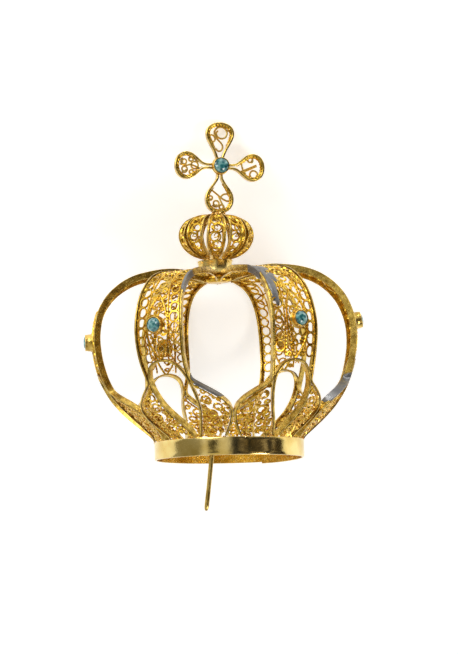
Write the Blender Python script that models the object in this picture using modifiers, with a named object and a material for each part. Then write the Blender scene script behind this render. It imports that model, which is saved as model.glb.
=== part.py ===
"""Statue crown: six filigree arches on a polished band, a hub and collar, a filigree orb and a
cross of four loops, with seven set stones and a pin below the band.

Every piece is modelled in the crown's own frame, in millimetres: the band's axis is Z, the band's
lower edge is z = 0, and the crown's front faces -Y. One empty then lays the whole crown down on
its two back arches and its cross, which is how it rests when nothing wears it.
"""

import math

import bmesh
import bpy
from mathutils import Matrix, Vector

for old in list(bpy.data.objects):
    bpy.data.objects.remove(old, do_unlink=True)

MM = 0.001

# ---- driving dimensions, mm and degrees ----
BAND_R = 19.0          # outer radius of the band
BAND_WALL = 0.6
BAND_HEIGHT = 4.5
BAND_SEAM_AT = 153.4   # where the strip's two ends meet, at the back
BAND_SEAM_STEP = 0.35  # one end sits this much lower
BAND_SEGMENTS = 52

CAGE_LEAN = 2.2        # the arches lean this much to the left of the band's axis
FOOT_YAW = -86.7       # the feet stand evenly, 60 degrees apart, from the left-hand one
# Each arch was bent and soldered by hand, from the left-hand one round the front: the azimuth of its
# upper part, how far it bulges past the even profile, how far its crest is pressed down, the turn of
# its window's point, and its stone's shift along and across.
ARCHES = (
    (-86.7, -0.6, 0.0, 4.0, 0.5, 0.2),
    (-28.2, 0.0, 1.0, 2.3, -0.6, -0.1),
    (33.4, 0.0, 1.0, 5.5, -0.2, 0.6),
    (93.3, 0.7, 0.2, 4.0, -0.9, 0.1),
    (151.0, 0.0, 0.4, 4.0, 0.0, 0.3),
    (207.2, 0.0, 0.4, 4.0, 0.2, -0.3),
)
STRIP_T = 0.5          # frame strip, on edge
STRIP_DEPTH = 1.7
WEB_OUT = 0.5          # filigree sheet, set back from the strip's outer edge
WEB_IN = 1.2
STONE_S = 39.3         # distance of the stones from the hub, along the arch

COLLET_BASE_R = 2.4
COLLET_TOP_R = 2.1
COLLET_H = 1.85
STONE_R = 1.8
CROSS_COLLET_R = 2.27
CROSS_COLLET_H = 1.65

HUB_R = 3.5
COLLAR_R = 4.5
COLLAR_Z = (46.98, 50.6)

ORB_CENTRE = (-2.0, 0.0, 56.3)
ORB_TILT = -1.4
PETAL_COUNT = 10
PETAL_YAW = 1.5
PETAL_NUDGE = {8: -1.0, 9: -2.2}   # two petals sit round from their even places
PETAL_STRIP_T = 0.42
PETAL_DEPTH = 1.15

CROSS_CENTRE = (-0.75, 0.0, 74.6)
CROSS_YAW = 14.0
CROSS_TILT = 2.0
CROSS_STRIP_T = 0.55
CROSS_DEPTH = 1.6
# A loop's outline from its neck to its round end: (half width, distance from the cross's centre).
LOOP_TOP = (
    (0.68, 1.2), (1.05, 2.3), (1.75, 4.0), (2.6, 5.5), (3.35, 7.0), (3.66, 8.3), (3.4, 9.6),
    (2.5, 10.7), (0.0, 11.3),
)
LOOP_SIDE = (
    (0.66, 1.2), (0.68, 3.2), (1.05, 4.5), (2.1, 5.8), (3.1, 7.1), (3.52, 8.4), (3.3, 9.8),
    (2.4, 11.0), (0.0, 11.7),
)
LOOP_LOW = (
    (0.66, 1.2), (0.8, 2.9), (1.5, 4.2), (2.45, 5.5), (3.3, 6.8), (3.66, 8.2), (3.4, 9.9),
    (2.3, 11.3), (0.0, 12.0),
)

PIN_R = 0.6
PIN_TOP = (-3.85, -17.12, 4.1)
PIN_TIP = (-6.1, -17.12, -13.7)

GAP = 0.06             # clearance between soldered pieces

# Lying pose: the direction, in the crown's frame, that points at the ground when the crown rests
# on its two back arches and the end of its cross.
GROUND_NORMAL = (-0.00724, 0.84526, 0.53431)

# Distance along the arch, then radius and height of its outer face, from the hub to the band.
ARCH_PROFILE = (
    (3.6, 46.5), (6.0, 47.3), (10.0, 48.5), (14.0, 48.8), (18.5, 48.3), (22.5, 47.3),
    (26.0, 45.6), (29.2, 43.0), (31.6, 39.8), (33.1, 36.0), (33.8, 32.0), (33.7, 28.0),
    (33.0, 24.0), (31.8, 20.0), (29.9, 16.0), (27.2, 12.5), (24.0, 9.4), (21.1, 6.9),
    (19.5, 5.4), (19.05, 4.64),
)
# (distance, half width): the arch's outline, and the window's outer line.
ARCH_WIDTH = (
    (0, 1.72), (3, 2.9), (7, 4.1), (12, 5.0), (18, 5.5), (25, 5.8), (31, 6.3), (37, 6.7),
    (42, 6.8), (48, 6.5), (52, 6.25), (54, 6.4), (55.5, 8.0), (57, 9.8), (59, 11.8), (61, 12.9),
    (63, 13.0), (65, 12.3), (67, 11.3), (69, 10.1), (71, 8.7), (73.5, 7.0),
)
WINDOW_WIDTH = (
    (48.3, 0.0), (48.5, 1.7), (49.0, 2.9), (49.8, 3.9), (51, 4.7), (53, 5.4), (56, 5.6),
    (59, 5.3), (62, 4.6), (65, 3.5), (68, 2.25), (71, 1.15), (73.5, 0.75),
)
PETAL_PROFILE = (
    (3.7, -5.4), (6.0, -4.6), (8.2, -2.9), (9.3, -1.0), (9.6, 0.6), (9.2, 2.4), (7.9, 4.2),
    (5.6, 5.4), (3.2, 5.85), (1.8, 5.9),
)

collection = bpy.data.collections.new("statue_crown")
bpy.context.scene.collection.children.link(collection)


# ---- small tools ----
def along(table, x):
    """Smooth reading of a table of (x, y) by Catmull-Rom pieces."""
    if x <= table[0][0]:
        return table[0][1]
    if x >= table[-1][0]:
        return table[-1][1]
    i = max(k for k in range(len(table) - 1) if table[k][0] <= x)
    x0, y0 = table[i]
    x1, y1 = table[i + 1]
    h = x1 - x0

    def slope(k):
        a, b = table[max(k - 1, 0)], table[min(k + 1, len(table) - 1)]
        return (b[1] - a[1]) / (b[0] - a[0])

    t = (x - x0) / h
    return (
        (2 * t**3 - 3 * t**2 + 1) * y0
        + (t**3 - 2 * t**2 + t) * h * slope(i)
        + (3 * t**2 - 2 * t**3) * y1
        + (t**3 - t**2) * h * slope(i + 1)
    )


class Meridian:
    """A half profile read by its length: its point and its outward normal."""

    def __init__(self, points):
        s, self.r, self.z = 0.0, [], []
        for k, (r, z) in enumerate(points):
            if k:
                s += math.hypot(r - points[k - 1][0], z - points[k - 1][1])
            self.r.append((s, r))
            self.z.append((s, z))
        self.length = s

    def at(self, s):
        r, z = along(self.r, s), along(self.z, s)
        a, b = max(s - 0.3, 0), min(s + 0.3, self.length)
        dr, dz = along(self.r, b) - along(self.r, a), along(self.z, b) - along(self.z, a)
        n = math.hypot(dr, dz)
        return r, z, -dz / n, dr / n


def smoothstep(t):
    t = min(max(t, 0.0), 1.0)
    return t * t * (3 - 2 * t)


def lean(p):
    """The arches' lean: none on the band, the whole of it 24 mm up."""
    a = math.radians(CAGE_LEAN) * smoothstep((p[2] - BAND_HEIGHT) / 20)
    c, s = math.cos(a), math.sin(a)
    return (p[0] * c - p[2] * s, p[1], p[0] * s + p[2] * c)


def metal(name, colour, roughness, metallic=1.0):
    mat = bpy.data.materials.new(name)
    mat.use_nodes = True
    shader = mat.node_tree.nodes["Principled BSDF"]
    shader.inputs["Base Color"].default_value = (*colour, 1)
    shader.inputs["Roughness"].default_value = roughness
    shader.inputs["Metallic"].default_value = metallic
    return mat


def place(name, mesh, mat, matrix=None):
    obj = bpy.data.objects.new(name, mesh)
    collection.objects.link(obj)
    mesh.materials.clear()
    mesh.materials.append(mat)
    obj.parent = crown
    if matrix is not None:
        obj.matrix_local = matrix
    return obj


def finish(name, bm, mat, matrix=None, sharp=35):
    """The welded bmesh as a named object, in metres, shaded smooth with its edges kept sharp."""
    bmesh.ops.remove_doubles(bm, verts=bm.verts, dist=0.0005)
    bmesh.ops.dissolve_degenerate(bm, edges=bm.edges, dist=0.0005)
    bmesh.ops.recalc_face_normals(bm, faces=bm.faces)
    bmesh.ops.scale(bm, vec=(MM, MM, MM), verts=bm.verts)
    mesh = bpy.data.meshes.new(name)
    bm.to_mesh(mesh)
    bm.free()
    mesh.shade_smooth()
    mesh.set_sharp_from_angle(angle=math.radians(sharp))
    if matrix is not None:
        matrix = matrix.copy()
        matrix.translation *= MM
    return place(name, mesh, mat, matrix)


def ring_of(bm, points):
    return [bm.verts.new(p) for p in points]


def skin(bm, a, b, closed=True):
    n = len(a)
    for i in range(n if closed else n - 1):
        j = (i + 1) % n
        bm.faces.new((a[i], a[j], b[j], b[i]))


def turned(name, profile, mat, matrix, steps, sharp=35):
    """A turned piece: the profile, outer side first from top to bottom, swept by a Screw."""
    mesh = bpy.data.meshes.new(name)
    mesh.from_pydata(
        [(r * MM, 0, z * MM) for r, z in profile], [(i, i + 1) for i in range(len(profile) - 1)], []
    )
    obj = bpy.data.objects.new(name, mesh)
    collection.objects.link(obj)
    screw = obj.modifiers.new("turn", "SCREW")
    screw.axis, screw.angle = "Z", 2 * math.pi
    screw.steps = screw.render_steps = steps
    screw.use_merge_vertices, screw.merge_threshold = True, 0.000001
    screw.use_normal_calculate = False
    bpy.context.view_layer.update()
    graph = bpy.context.evaluated_depsgraph_get()
    baked = bpy.data.meshes.new_from_object(obj.evaluated_get(graph))
    bpy.data.objects.remove(obj, do_unlink=True)
    bm = bmesh.new()
    bm.from_mesh(baked)
    bmesh.ops.scale(bm, vec=(1 / MM,) * 3, verts=bm.verts)
    return finish(name, bm, mat, matrix, sharp)


def frame_matrix(origin, normal, up):
    """Local Z along normal, local Y as near up as it can be."""
    z = Vector(normal).normalized()
    x = Vector(up).cross(z).normalized()
    y = z.cross(x)
    m = Matrix((x, y, z)).transposed().to_4x4()
    m.translation = Vector(origin)
    return m


# ---- finishes ----
GOLD_BAND = metal("gold_polished", (0.93, 0.70, 0.25), 0.12)
GOLD_WIRE = metal("gold_filigree", (0.90, 0.62, 0.17), 0.28)
GOLD_SETTING = metal("gold_setting", (0.92, 0.67, 0.22), 0.18)
GOLD_PIN = metal("gold_pin", (0.82, 0.60, 0.22), 0.2)
STONE = metal("teal_stone", (0.06, 0.36, 0.40), 0.06, 0.0)

crown = bpy.data.objects.new("crown_rest", None)
collection.objects.link(crown)


# ---- band: one strip bent round, its ends meeting with a small step ----
def make_band():
    bm = bmesh.new()
    start, end = BAND_SEAM_AT + 0.12, BAND_SEAM_AT + 359.88
    rows = []
    for i in range(BAND_SEGMENTS + 1):
        t = i / BAND_SEGMENTS
        a = math.radians(start + (end - start) * t)
        drop = -BAND_SEAM_STEP * smoothstep((t - 0.84) / 0.16)
        ro, ri, c = BAND_R, BAND_R - BAND_WALL, 0.14
        section = (
            (ro - c, BAND_HEIGHT), (ri, BAND_HEIGHT), (ri, 0), (ro - c, 0), (ro, c), (ro, BAND_HEIGHT - c),
        )
        rows.append(
            ring_of(bm, [(r * math.sin(a), -r * math.cos(a), z + drop) for r, z in section])
        )
    for a, b in zip(rows, rows[1:]):
        skin(bm, a, b)
    bm.faces.new(rows[0])
    bm.faces.new(rows[-1])
    finish("band", bm, GOLD_BAND)


# ---- arches: a frame strip on edge round a thinner filigree sheet, with a window below ----
UPPER_S = (0, 3, 7, 12, 17.5, 22.5, 27, 31, 35, 39.5, 44, 48.3)
CREST_S = (48.32, 48.5, 48.8)
LOWER_S = (49.0, 49.8, 51.5, 53.8, 56, 58.4, 61, 64, 67, 70)


def bent_profile(bulge, press):
    """One arch's own profile: wider at the belly, lower at the crest, the same at both ends."""
    points = []
    for r, z in ARCH_PROFILE:
        belly = math.sin(math.pi * min(max((z - BAND_HEIGHT) / 44, 0), 1))
        crest = smoothstep((r - 5) / 4) * (1 - smoothstep((r - 16) / 14)) if z > 30 else 0
        points.append((r + bulge * belly, z - press * crest))
    return Meridian(points)


def arch_point(arch, u, s, depth):
    r, z, nr, nz = arch["line"].at(s)
    turn = smoothstep((s - 45) / 14)
    a = math.radians(arch["azimuth"] * (1 - turn) + arch["foot"] * turn) + u / r
    rr, zz = r - depth * nr, z - depth * nz
    return lean((rr * math.sin(a), -rr * math.cos(a), zz))


def window_middle(arch, s):
    return math.radians(arch["window"]) * smoothstep((s - 50) / 24) * arch["line"].at(s)[0]


def arch_upper(bm, arch, s, w, t, centre_out, centre_in):
    """One closed section of the arch above the window, with a raised middle of half width t."""
    b, d = STRIP_T, STRIP_DEPTH
    edge = w - b
    outer = [
        (-w, 0), (-edge, 0), (-edge, WEB_OUT), (-t, WEB_OUT), (-t, centre_out), (0, centre_out),
        (t, centre_out), (t, WEB_OUT), (edge, WEB_OUT), (edge, 0), (w, 0),
    ]
    inner = [
        (w, d), (edge, d), (edge, WEB_IN), (t, WEB_IN), (t, centre_in), (0, centre_in),
        (-t, centre_in), (-t, WEB_IN), (-edge, WEB_IN), (-edge, d), (-w, d),
    ]
    return ring_of(bm, [arch_point(arch, u, s, depth) for u, depth in outer + inner])


def arch_leg(bm, arch, s, side):
    """One closed section of a lobe beside the window, from the window's strip to the outline's."""
    w, mid = along(ARCH_WIDTH, s), window_middle(arch, s)
    to = along(WINDOW_WIDTH, s)
    ti = max(along(WINDOW_WIDTH, max(s - 0.5, 48.3)) - STRIP_T, 0.0) if s > 49 else max(to - 2.2, 0.25)
    if s > 69:
        ti = max(to - STRIP_T, 0.12)
    a, b = mid + side * ti, mid + side * max(to, ti + STRIP_T)
    c, e = side * (w - STRIP_T), side * w
    if side * (c - b) < 0.12:
        b = c - side * 0.12
        a = min(a, b - 0.3) if side > 0 else max(a, b + 0.3)
    d = STRIP_DEPTH
    section = [
        (a, 0), (b, 0), (b, WEB_OUT), (c, WEB_OUT), (c, 0), (e, 0),
        (e, d), (c, d), (c, WEB_IN), (b, WEB_IN), (b, d), (a, d),
    ]
    return ring_of(bm, [arch_point(arch, u, s, depth) for u, depth in section])


def make_arch(index, arch):
    bm = bmesh.new()
    rows = [
        arch_upper(bm, arch, s, along(ARCH_WIDTH, s), 0.0, WEB_OUT, WEB_IN) for s in UPPER_S
    ]
    for s in CREST_S:
        rows.append(
            arch_upper(
                bm, arch, s, along(ARCH_WIDTH, s), max(along(WINDOW_WIDTH, s), 0.6), 0.0, STRIP_DEPTH
            )
        )
    for a, b in zip(rows, rows[1:]):
        skin(bm, a, b)
    bm.faces.new(rows[0])
    last = rows[-1]
    # The window opens at the middle of the last whole section: each lobe carries on from its half.
    halves = {
        -1: [last[i] for i in (5, 4, 3, 2, 1, 0, 21, 20, 19, 18, 17, 16)],
        1: [last[i] for i in (5, 6, 7, 8, 9, 10, 11, 12, 13, 14, 15, 16)],
    }
    for side, top in halves.items():
        before = top
        for s in LOWER_S + (arch["line"].length,):
            row = arch_leg(bm, arch, s, side)
            skin(bm, before, row)
            before = row
        bm.faces.new(before)
    finish(f"arch_{index}", bm, GOLD_WIRE)


# ---- settings: a conical cup and a round cut stone in it ----
def setting(label, matrix, base_r, top_r, height, stone_r):
    floor = height - 1.3
    turned(
        f"{label}_collet",
        [(0, floor), (stone_r + GAP, floor), (top_r - 0.12, height), (top_r, height), (base_r, 0), (0, 0)],
        GOLD_SETTING,
        matrix,
        12,
    )
    z = floor + GAP
    turned(
        f"{label}_stone",
        [(0, height + 0.38), (stone_r * 0.55, height + 0.38), (stone_r * 0.96, height - 0.06), (stone_r * 0.96, height - 0.3), (stone_r * 0.62, z), (0, z)],
        STONE,
        matrix,
        10,
        sharp=20,
    )


def arch_setting(index, arch):
    s = STONE_S + arch["stone_s"]
    r, z, nr, nz = arch["line"].at(s)
    a = math.radians(arch["azimuth"]) + arch["stone_u"] / r
    base = r - (WEB_OUT - GAP) * nr, z - (WEB_OUT - GAP) * nz
    origin = lean((base[0] * math.sin(a), -base[0] * math.cos(a), base[1]))
    tip = lean(((base[0] + nr) * math.sin(a), -(base[0] + nr) * math.cos(a), base[1] + nz))
    normal = Vector(tip) - Vector(origin)
    setting(f"arch_{index}", frame_matrix(origin, normal, (0, 0, 1)), COLLET_BASE_R, COLLET_TOP_R, COLLET_H, STONE_R)


# ---- hub, collar ----
def lean_matrix(x, z):
    a = math.radians(CAGE_LEAN)
    return Matrix.Translation(lean((x, 0, z))) @ Matrix.Rotation(-a, 4, "Y")


def make_hub():
    turned(
        "hub",
        [(0, 1.9), (HUB_R - 0.3, 1.9), (HUB_R, 1.6), (HUB_R, 0.5), (HUB_R - 0.5, 0), (0, 0)],
        GOLD_WIRE,
        lean_matrix(0, 44.9),
        16,
    )
    low, high = COLLAR_Z
    h = high - low
    turned(
        "collar",
        [
            (0, h), (COLLAR_R - 0.15, h), (COLLAR_R, h - 0.15), (COLLAR_R - 0.22, h * 0.62),
            (COLLAR_R - 0.22, h * 0.38), (COLLAR_R, 0.3), (COLLAR_R - 0.3, 0), (0, 0),
        ],
        GOLD_BAND,
        lean_matrix(-0.55, low),
        24,
    )


# ---- orb: ten curved petals, each a strip frame round a thin filigree sheet ----
PETAL = Meridian(PETAL_PROFILE)


def petal_width(s):
    t = s / PETAL.length
    return 0.32 + 0.4 * (1 - t) + 1.9 * math.sin(math.pi * t) ** 0.95


def make_petal(index, azimuth):
    bm = bmesh.new()
    rows = []
    count = 7
    for k in range(count + 1):
        s = PETAL.length * k / count
        r, z, nr, nz = PETAL.at(s)
        w, b, d = petal_width(s), min(PETAL_STRIP_T, petal_width(s) * 0.45), PETAL_DEPTH
        e = w - b
        section = [
            (-w, 0), (-e, 0), (-e, 0.3), (e, 0.3), (e, 0), (w, 0),
            (w, d), (e, d), (e, 0.8), (-e, 0.8), (-e, d), (-w, d),
        ]
        row = []
        for u, depth in section:
            a = math.radians(azimuth) + u / r
            rr, zz = r + depth * nr, z + depth * nz
            row.append((rr * math.sin(a), -rr * math.cos(a), zz))
        rows.append(ring_of(bm, row))
    for a, b in zip(rows, rows[1:]):
        skin(bm, a, b)
    bm.faces.new(rows[0])
    bm.faces.new(rows[-1])
    m = Matrix.Translation(ORB_CENTRE) @ Matrix.Rotation(math.radians(-ORB_TILT), 4, "Y")
    finish(f"orb_petal_{index}", bm, GOLD_WIRE, m)


# ---- cross: four teardrop loops of strip round a set stone ----
def loop_line(outline, count):
    """The middle line of a loop's strip, round from its neck and back: (across, along) pairs."""
    inset = CROSS_STRIP_T / 2
    right = [(x - inset, y) for x, y in outline[:-1]]
    tip = (0.0, outline[-1][1] - inset)
    closed = right + [tip] + [(-x, y) for x, y in reversed(right)]
    n = len(closed)
    dense = []
    for k in range(n):
        p0, p1, p2, p3 = (closed[(k + j) % n] for j in (-1, 0, 1, 2))
        for step in range(8):
            t = step / 8
            dense.append(
                tuple(
                    0.5 * (2 * b + (c - a) * t + (2 * a - 5 * b + 4 * c - d) * t**2 + (3 * b - a - 3 * c + d) * t**3)
                    for a, b, c, d in zip(p0, p1, p2, p3)
                )
            )
    lengths = [0.0]
    for k in range(len(dense)):
        a, b = dense[k], dense[(k + 1) % len(dense)]
        lengths.append(lengths[-1] + math.hypot(b[0] - a[0], b[1] - a[1]))
    points, at = [], 0
    for k in range(count):
        want = lengths[-1] * k / count
        while lengths[at + 1] < want:
            at += 1
        t = (want - lengths[at]) / (lengths[at + 1] - lengths[at])
        a, b = dense[at], dense[(at + 1) % len(dense)]
        points.append((a[0] + (b[0] - a[0]) * t, a[1] + (b[1] - a[1]) * t))
    return points


def make_loop(name, turn, outline):
    bm = bmesh.new()
    line = loop_line(outline, 24)
    n = len(line)
    rows = []
    for k in range(n):
        (x0, y0), (x1, y1), (x2, y2) = line[k - 1], line[k], line[(k + 1) % n]
        tx, ty = x2 - x0, y2 - y0
        size = math.hypot(tx, ty)
        nx, ny = ty / size * CROSS_STRIP_T / 2, -tx / size * CROSS_STRIP_T / 2
        c, s = math.cos(turn), math.sin(turn)
        row = []
        for sign, y in ((1, -CROSS_DEPTH / 2), (1, CROSS_DEPTH / 2), (-1, CROSS_DEPTH / 2), (-1, -CROSS_DEPTH / 2)):
            px, pz = x1 + sign * nx, y1 + sign * ny
            row.append((px * c + pz * s, y, -px * s + pz * c))
        rows.append(ring_of(bm, row))
    for k in range(n):
        skin(bm, rows[k], rows[(k + 1) % n])
    finish(name, bm, GOLD_WIRE, CROSS)


CROSS = (
    Matrix.Translation(CROSS_CENTRE)
    @ Matrix.Rotation(math.radians(CROSS_YAW), 4, "Z")
    @ Matrix.Rotation(math.radians(CROSS_TILT), 4, "Y")
)


def make_pin():
    a, b = Vector(PIN_TOP), Vector(PIN_TIP)
    length = (b - a).length
    m = frame_matrix(a, a - b, (0, -1, 0))
    turned(
        "pin",
        [(0, 0), (PIN_R, 0), (PIN_R, 0.6 - length), (PIN_R * 0.6, -length), (0, -length)],
        GOLD_PIN,
        m,
        12,
    )


make_band()
for k, (azimuth, bulge, press, window, stone_s, stone_u) in enumerate(ARCHES):
    arch = {
        "azimuth": azimuth, "foot": FOOT_YAW + 60 * k, "line": bent_profile(bulge, press), "window": window,
        "stone_s": stone_s, "stone_u": stone_u,
    }
    make_arch(k + 1, arch)
    arch_setting(k + 1, arch)
make_hub()
for k in range(PETAL_COUNT):
    nudge = PETAL_NUDGE.get(k, 0.0)
    make_petal(k + 1, PETAL_YAW + 360 / PETAL_COUNT * k + nudge)
make_loop("cross_top", 0.0, LOOP_TOP)
make_loop("cross_right", math.pi / 2, LOOP_SIDE)
make_loop("cross_bottom", math.pi, LOOP_LOW)
make_loop("cross_left", -math.pi / 2, LOOP_SIDE)
setting(
    "cross",
    CROSS @ Matrix.Translation((0, -CROSS_DEPTH / 2 - GAP, 0)) @ Matrix.Rotation(math.pi / 2, 4, "X"),
    CROSS_COLLET_R,
    CROSS_COLLET_R - 0.15,
    CROSS_COLLET_H,
    CROSS_COLLET_R - 0.4,
)
make_pin()

# ---- laid down: front up, the cross's end and the two back arches on the ground ----
down = Vector(GROUND_NORMAL).normalized()
ahead = (Vector((0, 0, 1)) - down * down.z).normalized()
lay = Matrix((ahead.cross(-down), ahead, -down)).to_4x4()
crown.matrix_world = lay
bpy.context.view_layer.update()
graph = bpy.context.evaluated_depsgraph_get()
corners = [
    obj.matrix_world @ v.co
    for obj in collection.objects
    if obj.type == "MESH"
    for v in obj.evaluated_get(graph).data.vertices
]
lows = [min(c[i] for c in corners) for i in range(3)]
highs = [max(c[i] for c in corners) for i in range(3)]
crown.matrix_world = (
    Matrix.Translation((-(lows[0] + highs[0]) / 2, -(lows[1] + highs[1]) / 2, -lows[2])) @ lay
)
bpy.context.view_layer.update()
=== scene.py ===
import math

import bpy
import numpy as np
from mathutils import Matrix, Vector


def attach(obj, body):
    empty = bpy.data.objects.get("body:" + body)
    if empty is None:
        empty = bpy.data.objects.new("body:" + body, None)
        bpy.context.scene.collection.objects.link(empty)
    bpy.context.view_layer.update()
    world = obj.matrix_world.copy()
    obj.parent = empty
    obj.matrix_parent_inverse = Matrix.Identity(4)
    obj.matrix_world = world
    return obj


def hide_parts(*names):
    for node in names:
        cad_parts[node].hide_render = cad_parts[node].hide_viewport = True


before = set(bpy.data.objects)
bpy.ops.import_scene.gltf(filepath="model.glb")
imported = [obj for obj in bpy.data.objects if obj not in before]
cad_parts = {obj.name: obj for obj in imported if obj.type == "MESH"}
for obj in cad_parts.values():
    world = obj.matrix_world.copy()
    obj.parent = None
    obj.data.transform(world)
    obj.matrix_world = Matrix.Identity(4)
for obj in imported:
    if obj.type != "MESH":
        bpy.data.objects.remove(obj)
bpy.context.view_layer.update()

# ---- the crown's own sizes, mm and degrees: band axis Z, band's lower edge z = 0, front -Y ----
BAND_R, BAND_WALL, BAND_HEIGHT = 19.0, 0.6, 4.5
BAND_SEAM_AT, BAND_SEAM_STEP = 153.4, 0.35
CAGE_LEAN = 2.2
FOOT_YAW = -86.7
ARCHES = (
    (-86.7, -0.6, 0.0, 4.0, 0.5, 0.2),
    (-28.2, 0.0, 1.0, 2.3, -0.6, -0.1),
    (33.4, 0.0, 1.0, 5.5, -0.2, 0.6),
    (93.3, 0.7, 0.2, 4.0, -0.9, 0.1),
    (151.0, 0.0, 0.4, 4.0, 0.0, 0.3),
    (207.2, 0.0, 0.4, 4.0, 0.2, -0.3),
)
# how far each waist, with its window's crest, sits towards the band
WAIST = {2: -1.0, 3: 0.7, 5: -0.9, 6: -1.7}
STRIP_T, STRIP_DEPTH, WEB_OUT, WEB_IN = 0.5, 1.7, 0.5, 1.2
STONE_S = 39.3
COLLET_BASE_R, COLLET_TOP_R, COLLET_H, STONE_R = 2.4, 2.1, 1.85, 1.8
CROSS_COLLET_R, CROSS_COLLET_H = 2.27, 1.65
HUB_R, COLLAR_R, COLLAR_Z = 3.5, 4.5, (46.98, 50.6)
ORB_CENTRE, ORB_TILT = (-2.0, 0.0, 56.3), -1.4
PETAL_COUNT, PETAL_YAW, PETAL_NUDGE = 10, 1.5, {8: -1.0, 9: -2.2}
PETAL_STRIP_T, PETAL_DEPTH = 0.42, 1.15
CROSS_CENTRE, CROSS_YAW, CROSS_TILT = (-0.75, 0.0, 74.6), 14.0, 2.0
CROSS_STRIP_T, CROSS_DEPTH = 0.55, 1.6
LOOP_TOP = (
    (0.68, 1.2), (1.05, 2.3), (1.75, 4.0), (2.6, 5.5), (3.35, 7.0), (3.66, 8.3), (3.42, 9.5),
    (2.72, 10.45), (1.45, 11.1), (0.0, 11.3),
)
LOOP_SIDE = (
    (0.66, 1.2), (0.68, 3.2), (1.05, 4.5), (2.1, 5.8), (3.1, 7.1), (3.52, 8.4), (3.35, 9.65),
    (2.6, 10.8), (1.4, 11.48), (0.0, 11.7),
)
LOOP_LOW = (
    (0.66, 1.2), (0.8, 2.9), (1.5, 4.2), (2.45, 5.5), (3.3, 6.8), (3.66, 8.2), (3.45, 9.7),
    (2.68, 11.05), (1.42, 11.8), (0.0, 12.0),
)
PIN_R, PIN_TOP, PIN_TIP = 0.6, (-3.85, -17.12, 4.1), (-6.1, -17.12, -13.7)
GAP = 0.06
GROUND_NORMAL = (-0.00724, 0.84526, 0.53431)
LAID_AT = (0.677804, -31.512126, 46.862725)
ARCH_PROFILE = (
    (3.6, 46.5), (6.0, 47.3), (10.0, 48.5), (14.0, 48.8), (18.5, 48.3), (22.5, 47.3),
    (26.0, 45.6), (29.2, 43.0), (31.6, 39.8), (33.1, 36.0), (33.8, 32.0), (33.7, 28.0),
    (33.0, 24.0), (31.8, 20.0), (29.9, 16.0), (27.2, 12.5), (24.0, 9.4), (21.1, 6.9),
    (19.5, 5.4), (19.05, 4.64),
)
ARCH_WIDTH = (
    (0, 1.72), (3, 2.9), (7, 4.1), (12, 5.0), (18, 5.5), (25, 5.8), (31, 6.3), (37, 6.7),
    (42, 6.8), (48, 6.5), (52, 6.25), (54, 6.4), (55.5, 8.0), (57, 9.8), (59, 11.8), (61, 12.9),
    (63, 13.0), (65, 12.3), (67, 11.3), (69, 10.1), (71, 8.7), (73.5, 7.0),
)
WINDOW_WIDTH = (
    (48.3, 0.0), (48.5, 1.7), (49.0, 2.9), (49.8, 3.9), (51, 4.7), (53, 5.4), (56, 5.6),
    (59, 5.3), (62, 4.6), (65, 3.5), (68, 2.25), (71, 1.15), (73.5, 0.75),
)
PETAL_PROFILE = (
    (3.7, -5.4), (6.0, -4.6), (8.2, -2.9), (9.3, -1.0), (9.6, 0.6), (9.2, 2.4), (7.9, 4.2),
    (5.6, 5.4), (3.2, 5.85), (1.8, 5.9),
)

down = Vector(GROUND_NORMAL).normalized()
ahead = (Vector((0, 0, 1)) - down * down.z).normalized()
LAY3 = Matrix((ahead.cross(-down), ahead, -down))
LAY = LAY3.to_4x4()
LAY.translation = Vector(LAID_AT)
LAY_R = np.array(LAY3)
LAY_T = np.array(LAID_AT)


# ---- reading the tables ----
def along(table, x):
    if x <= table[0][0]:
        return table[0][1]
    if x >= table[-1][0]:
        return table[-1][1]
    i = max(k for k in range(len(table) - 1) if table[k][0] <= x)
    x0, y0 = table[i]
    x1, y1 = table[i + 1]
    h = x1 - x0

    def slope(k):
        a, b = table[max(k - 1, 0)], table[min(k + 1, len(table) - 1)]
        return (b[1] - a[1]) / (b[0] - a[0])

    t = (x - x0) / h
    return (
        (2 * t**3 - 3 * t**2 + 1) * y0
        + (t**3 - 2 * t**2 + t) * h * slope(i)
        + (3 * t**2 - 2 * t**3) * y1
        + (t**3 - t**2) * h * slope(i + 1)
    )


class Reader:
    """A table read at any array of places."""

    def __init__(self, table, low, high, step=0.1):
        self.x = np.arange(low, high + step, step)
        self.y = np.array([along(table, float(x)) for x in self.x])

    def __call__(self, x):
        return np.interp(x, self.x, self.y)


class Meridian:
    def __init__(self, points):
        s, r_table, z_table = 0.0, [], []
        for k, (r, z) in enumerate(points):
            if k:
                s += math.hypot(r - points[k - 1][0], z - points[k - 1][1])
            r_table.append((s, r))
            z_table.append((s, z))
        self.length = s
        self.r = Reader(r_table, 0, s)
        self.z = Reader(z_table, 0, s)

    def at(self, s):
        a, b = np.clip(s - 0.3, 0, None), np.clip(s + 0.3, None, self.length)
        dr, dz = self.r(b) - self.r(a), self.z(b) - self.z(a)
        n = np.hypot(dr, dz) + 1e-9
        return self.r(s), self.z(s), -dz / n, dr / n


def smoothstep(t):
    t = np.clip(t, 0.0, 1.0)
    return t * t * (3 - 2 * t)


def lean(x, y, z):
    a = math.radians(CAGE_LEAN) * smoothstep((z - BAND_HEIGHT) / 20)
    return np.stack([x * np.cos(a) - z * np.sin(a), y, x * np.sin(a) + z * np.cos(a)], -1)


width_at = Reader(ARCH_WIDTH, 0, 73.5, 0.05)
window_at = Reader(WINDOW_WIDTH, 0, 73.5, 0.02)


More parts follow.
